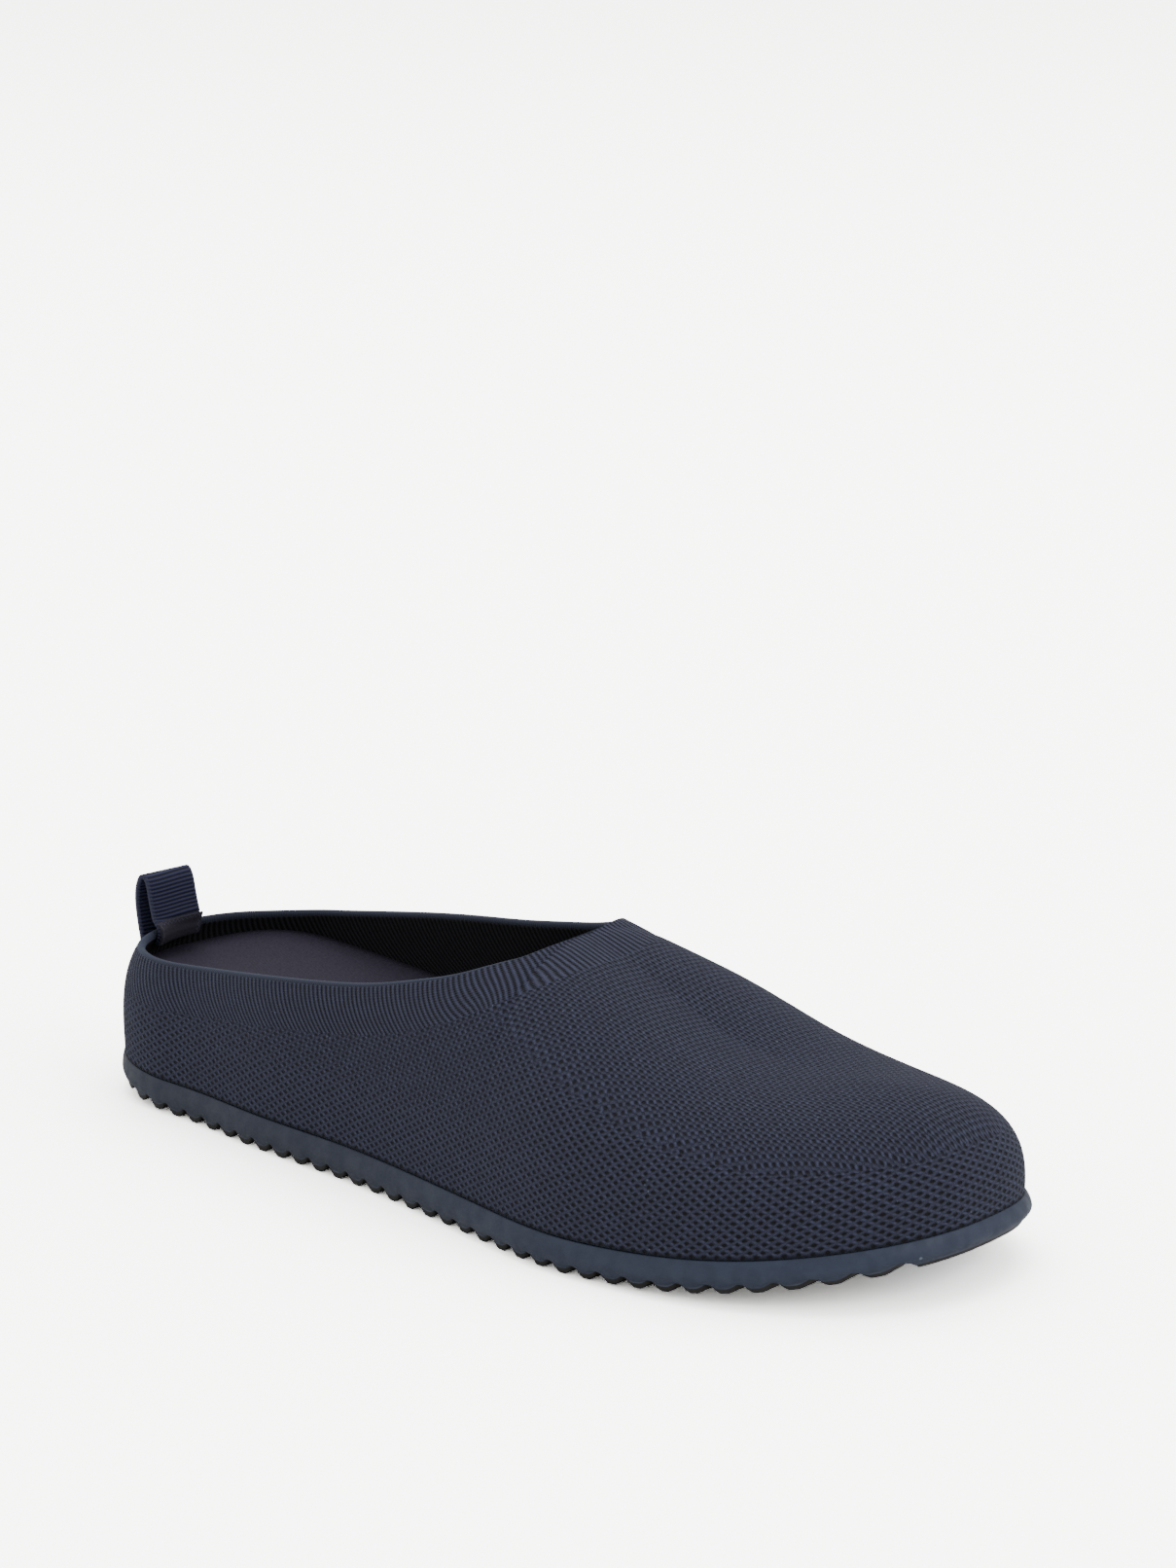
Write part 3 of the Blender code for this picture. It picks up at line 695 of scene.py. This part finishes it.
def lining_finish():
    """Near-black inside of the knit, ribbed up and down."""
    made, tree, shader = new_material("dark_lining", (0.006, 0.006, 0.008), 0.9)
    shader.inputs["Specular IOR Level"].default_value = 0.15
    rib = sums(tree, "SINE", sums(tree, "MULTIPLY", map_parts(tree, "band")["X"], 2 * math.pi))
    rib = sums(tree, "MULTIPLY_ADD", rib, 0.5, 0.5)
    # The ribs are painted paler on their tops and darker between them: painted highlight and painted shade
    # on the near-black lining.
    colour = blend(tree, rib, (0.003, 0.003, 0.004), (0.020, 0.020, 0.024))
    tree.links.new(colour, shader.inputs["Base Color"])
    bump(tree, shader, rib, 0.6, 0.0002)
    return made


upper, upper_ring = knitted_shell()
navy_knit = knit_finish()
dark_lining = lining_finish()
upper.data.materials.append(navy_knit)
upper.data.materials.append(dark_lining)
wall = upper.modifiers.new("lining", "SOLIDIFY")
wall.thickness = WALL
wall.offset = -1
wall.use_even_offset = True
wall.material_offset = 1
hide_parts("upper")


# Collar rim: the knit folded over to the inside and bonded, which leaves a smooth round edge all the
# way round the opening.
RIM_WALE = 0.0007


def folded_rim():
    """Round fold of the knit along the collar, as thick as the wall."""
    ring = upper_ring
    along = last_frame(ring)[1]
    open_part = along <= THROAT + 1e-9
    top = collar_lean(ring)
    up = last_row(ring, top) - last_row(ring, top - 0.02)
    up /= np.linalg.norm(up, axis=1)[:, None]
    edge = last_row(ring, top)
    out = np.cross(np.roll(edge, -1, axis=0) - np.roll(edge, 1, axis=0), up)
    out /= np.linalg.norm(out, axis=1)[:, None]
    heart = (edge - WALL / 2 * (up + out))[open_part]
    up, out = up[open_part], out[open_part]
    # The tube starts and ends where the ring leaves the opening, at the throat
    half = np.argmax(np.diff(np.flatnonzero(open_part))) + 1
    order = np.concatenate([np.arange(half, len(heart)), np.arange(half)])
    heart, up, out = heart[order], up[order], out[order]
    turns = np.linspace(0, 2 * math.pi, 17)
    tube = np.stack([heart + WALL / 2 * (out * math.cos(turn) + up * math.sin(turn)) for turn in turns], 1)
    tube = np.concatenate([tube, tube[:1]])
    run = arc_lengths(tube, 0)[:, :1] + np.zeros(len(turns))
    around = np.broadcast_to(turns * WALL / 2, run.shape)
    return grid_piece("collar_rim", tube, {"rim": np.stack([run, around], -1) * 1000}, True)


def rim_finish():
    """The same knit stretched smooth over the fold, with only fine wales left to see."""
    made, tree, shader = new_material("rim_knit", (0.020, 0.024, 0.041), 0.8)
    shader.inputs["Sheen Weight"].default_value = 0.2
    shader.inputs["Sheen Tint"].default_value = (0.45, 0.55, 0.85, 1)
    shader.inputs["Specular IOR Level"].default_value = 0.25
    wale = sums(tree, "MULTIPLY", map_parts(tree, "rim")["X"], 2 * math.pi / (RIM_WALE * 1000))
    wale = sums(tree, "COSINE", wale)
    wale = sums(tree, "MULTIPLY_ADD", wale, 0.5, 0.5)
    # The wales are painted paler on their tops and darker between them: painted highlight and painted shade.
    colour = blend(tree, wale, (0.009, 0.011, 0.021), (0.018, 0.021, 0.038))
    tree.links.new(colour, shader.inputs["Base Color"])
    bump(tree, shader, wale, 0.5, 0.0001)
    return made


rim = folded_rim()
rim.data.materials.append(rim_finish())


# Footbed: a thick foam insole with a cupped heel seat, covered with fine dark twill, laid loose in
# the shoe.
SEAT_HEIGHT = 0.0343
CUP_DEPTH = 0.0028
TWILL_LINE = 0.0008
TWILL_FLOAT = 0.0011
FOOTBED = {
    "along":   (0.00, 0.03, 0.10, 0.20, 0.30, 0.45, 0.60, 0.75, 1.00),
    "lateral": (0.955, 1.00, 0.985, 0.920, 0.840, 0.684, 0.557, 0.508, 0.488),
    "medial":  (0.955, 1.00, 0.995, 0.943, 0.885, 0.750, 0.587, 0.508, 0.488),
    "cup":     (0.00, 0.60, 1.00, 1.00, 1.00, 0.60, 0.20, 0.00, 0.00),
}


def cupped_footbed():
    """Footbed as one grid: from its underside up the sides, over a soft edge, across the hollow top."""
    ring = ring_of(even_stations(160))
    foot, along, low, _top_x, top_z = last_frame(ring)
    edge = SEAT_HEIGHT * by_side(ring, FOOTBED, along) + toe_lift(foot[:, 0])
    share = np.clip((edge - low) / (top_z - low), 0, 1)
    reach = np.arcsin(share ** (column(SECTION, "exponent", along) / 2))
    rows = [inner_row(ring, reach * k / 10, WALL + 1.2 * GAP) for k in range(11)]
    top = rows[-1]
    other = top[-np.arange(len(top)) % len(top)]
    middle = (top + other) / 2
    cup = CUP_DEPTH * column(FOOTBED, "cup", along)
    for share in np.linspace(1, 0, 15)[1:]:
        row = middle + (top - middle) * share
        row[:, 2] -= cup * (1 - share**2)
        rows.append(row)
    floor_row = rows[0]
    other = floor_row[-np.arange(len(top)) % len(top)]
    rows = [(floor_row + other) / 2, *rows]
    return grid_piece("footbed_cushion", np.stack([closed_row(row) for row in rows], 1), {}, True)


def twill_finish():
    """Fine dark twill with an aubergine cast."""
    made, tree, shader = new_material("footbed_twill", (0.030, 0.024, 0.042), 0.8)
    shader.inputs["Specular IOR Level"].default_value = 0.25
    place = add_node(tree, "ShaderNodeTexCoord").outputs["Object"]
    turned = add_node(tree, "ShaderNodeMapping", [("Vector", place), ("Rotation", (0, 0, math.radians(38)))])
    parts = add_node(tree, "ShaderNodeSeparateXYZ", [(0, turned.outputs[0])])
    line = sums(tree, "SINE", sums(tree, "MULTIPLY", parts.outputs["X"], 2 * math.pi / TWILL_LINE))
    floats = sums(tree, "SINE", sums(tree, "MULTIPLY", parts.outputs["Y"], 2 * math.pi / TWILL_FLOAT))
    line = sums(tree, "MULTIPLY_ADD", sums(tree, "MULTIPLY", line, floats), 0.5, 0.5)
    grain = noise(tree, place, 1900.0, 2.0).outputs[0]
    line = sums(tree, "MULTIPLY", line, sums(tree, "MULTIPLY_ADD", grain, 2.0, -0.1))
    colour = blend(tree, line, (0.007, 0.006, 0.012), (0.038, 0.030, 0.056))
    tree.links.new(colour, shader.inputs["Base Color"])
    bump(tree, shader, line, 0.4, 0.0001)
    return made


footbed = cupped_footbed()
footbed.data.materials.append(twill_finish())
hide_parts("insole")


# Pull loop: a ribbed navy ribbon folded into a loop over the rim at the heel, sewn down outside and
# taped inside.
RIBBON_WIDTH = 0.0142
RIBBON_THICK = 0.0011
RIBBON_TURN = 9.0
LOOP_SIDE = -0.0020
LOOP_RISE = 0.0136
LOOP_BACK = 0.0032
LOOP_DROP = 0.0105
LOOP_SEWN = 0.0050
LOOP_TUCK = 0.0038
RIBBON_RIB = 0.0010
RIBBON_STEP = RIBBON_RIB / 8
LOOP = {
    "along": (0.00, 0.12, 0.24, 0.36, 0.47, 0.54, 0.62, 0.74, 0.87, 1.00),
    "back":  (0.74, 0.93, 1.00, 0.83, 0.50, 0.21, -0.15, -0.43, -0.66, -0.90),
    "up":    (0.00, 0.29, 0.58, 0.82, 0.97, 1.00, 0.92, 0.69, 0.43, 0.21),
}
heel_ring = ring_of(even_stations(140))


def heel_wall(y, z, inset):
    """X of the heel's wall at this width and height, `inset` inwards of its outer surface."""
    found = []
    top = collar_lean(heel_ring)
    for lean in np.linspace(0, 1, 16) * top[0]:
        row = inner_row(heel_ring, np.full(len(top), lean), inset)
        back = row[row[:, 0] < LENGTH / 4]
        back = back[np.argsort(back[:, 1])]
        found.append([np.interp(y, back[:, 1], back[:, i]) for i in (0, 2)])
    found = np.array(found)
    return np.interp(z, found[:, 1], found[:, 0])


rim_back = last_row(heel_ring, collar_lean(heel_ring))[0]


def ribbon_path(y):
    """Points (x, z) of the ribbon's line at the width y, from its outer end to its inner one."""
    clear = GAP + RIBBON_THICK / 2
    points = []
    for drop in np.linspace(LOOP_DROP, LOOP_DROP - LOOP_SEWN, 5):
        points.append((heel_wall(y, rim_back[2] - drop, -clear), rim_back[2] - drop))
    turn = (y - LOOP_SIDE) * math.tan(math.radians(RIBBON_TURN))
    for share in np.linspace(0, 1, 19):
        back = LOOP_BACK * column(LOOP, "back", share)
        points.append((rim_back[0] - back + turn, rim_back[2] + LOOP_RISE * column(LOOP, "up", share)))
    for drop in np.linspace(0, LOOP_TUCK, 4):
        points.append((heel_wall(y, rim_back[2] - drop, WALL + clear), rim_back[2] - drop))
    return np.array(points)


def smooth_path(points, step):
    """Points at even steps along a natural cubic through a path's points."""
    run = np.concatenate([[0], np.cumsum(np.linalg.norm(np.diff(points, axis=0), axis=1))])
    table = {"along": run, "x": points[:, 0], "z": points[:, 1]}
    at = np.linspace(0, run[-1], int(run[-1] / step) + 1)
    return np.stack([column(table, "x", at), column(table, "z", at)], 1)


def ribbon(name, widths, paths, thick, step):
    """Flat band along one path for each of its widths, with a map in millimetres and a thickness."""
    even = [smooth_path(path, step) for path in paths]
    count = min(len(path) for path in even)
    grid = np.empty((len(widths), count, 3))
    for line, y, path in zip(grid, widths, even):
        pick = np.linspace(0, len(path) - 1, count)
        line[:, 0] = np.interp(pick, np.arange(len(path)), path[:, 0])
        line[:, 1] = y
        line[:, 2] = np.interp(pick, np.arange(len(path)), path[:, 1])
    run = arc_lengths(grid, 1)
    across = np.broadcast_to((widths - widths[0])[:, None], run.shape)
    made = grid_piece(name, grid, {"ribbon": np.stack([across, run], -1) * 1000}, False)
    body = made.modifiers.new("thickness", "SOLIDIFY")
    body.thickness = thick
    body.offset = 0
    body.use_even_offset = True
    return made


def ribbon_finish():
    """Navy ribbon with a round rib about every millimetre and thin pale selvedges."""
    made, tree, shader = new_material("navy_ribbon", (0.012, 0.014, 0.036), 0.75)
    shader.inputs["Specular IOR Level"].default_value = 0.25
    across, run = map_parts(tree, "ribbon")[:2]
    rib = sums(tree, "COSINE", sums(tree, "MULTIPLY", run, 2 * math.pi / (RIBBON_RIB * 1000)))
    rib = sums(tree, "MULTIPLY_ADD", rib, 0.5, 0.5)
    half = RIBBON_WIDTH / 2 * 1000
    selvedge = sums(tree, "ABSOLUTE", sums(tree, "SUBTRACT", across, half))
    selvedge = ramp(tree, selvedge, half - 0.7, half - 0.4)
    # The ribs are painted pale on their tops and near-black between them: painted highlight and painted
    # shade.
    colour = blend(tree, rib, (0.002, 0.0025, 0.008), (0.029, 0.032, 0.084))
    colour = blend(tree, selvedge, colour, (0.030, 0.033, 0.066))
    tree.links.new(colour, shader.inputs["Base Color"])
    bump(tree, shader, rib, 0.7, 0.0003)
    return made


ribbon_widths = LOOP_SIDE + np.linspace(-RIBBON_WIDTH / 2, RIBBON_WIDTH / 2, 17)
pull_loop = ribbon("pull_loop_ribbon", ribbon_widths, [ribbon_path(y) for y in ribbon_widths],
                   RIBBON_THICK, RIBBON_STEP)
pull_loop.data.materials.append(ribbon_finish())
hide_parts("pull_loop")


# Heel tape: a short piece of thin napped tape, bonded over the ribbon's inner end.
TAPE_WIDTH = 0.0152
TAPE_THICK = 0.0005
TAPE_RISE = 0.0022
TAPE_STEP = 0.0003
STITCH = 0.0007
STITCH_INSET = 0.0004


def tape_path(y):
    """Points (x, z) of the tape at the width y, square to the ribbon and just clear of it."""
    path = ribbon_path(y)
    inner = path[np.argmax(path[:, 1]):]
    run = np.gradient(inner, axis=0)
    square = np.stack([-run[:, 1], run[:, 0]], 1) / np.linalg.norm(run, axis=1)[:, None]
    inner = (inner + (RIBBON_THICK / 2 + GAP + TAPE_THICK / 2) * square)[::-1]
    levels = np.linspace(rim_back[2] + TAPE_RISE, rim_back[2] - LOOP_TUCK, 14)
    return np.array([(np.interp(z, inner[:, 1], inner[:, 0]), z) for z in levels])


def tape_finish():
    """Dark aubergine napped tape, sewn down with a zig-zag of thread along its edges."""
    made, tree, shader = new_material("napped_tape", (0.018, 0.014, 0.028), 0.9)
    place = add_node(tree, "ShaderNodeTexCoord").outputs["Object"]
    nap = noise(tree, place, 2500.0, 3.0).outputs[0]
    colour = blend(tree, nap, (0.006, 0.005, 0.011), (0.026, 0.021, 0.038))
    across, run = map_parts(tree, "ribbon")[:2]
    half = TAPE_WIDTH / 2 * 1000
    inwards = sums(tree, "ABSOLUTE", sums(tree, "SUBTRACT", across, half))
    inwards = sums(tree, "SUBTRACT", half, inwards)
    threads = []
    for inset, sewn in ((inwards, run), (run, across)):
        swing = sums(tree, "PINGPONG", sewn, STITCH * 1000)
        off = sums(tree, "SUBTRACT", sums(tree, "SUBTRACT", inset, STITCH_INSET * 1000), swing)
        threads.append(ramp(tree, sums(tree, "ABSOLUTE", off), 0.26, 0.12))
    thread = sums(tree, "MAXIMUM", threads[0], threads[1])
    colour = blend(tree, sums(tree, "MULTIPLY", thread, 0.8), colour, (0.042, 0.040, 0.075))
    tree.links.new(colour, shader.inputs["Base Color"])
    bump(tree, shader, sums(tree, "ADD", nap, thread), 0.6, 0.0002)
    return made


tape_widths = LOOP_SIDE + np.linspace(-TAPE_WIDTH / 2, TAPE_WIDTH / 2, 31)
heel_tape = ribbon("heel_tape_strip", tape_widths, [tape_path(y) for y in tape_widths],
                   TAPE_THICK, TAPE_STEP)
heel_tape.data.materials.append(tape_finish())
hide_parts("heel_tape")
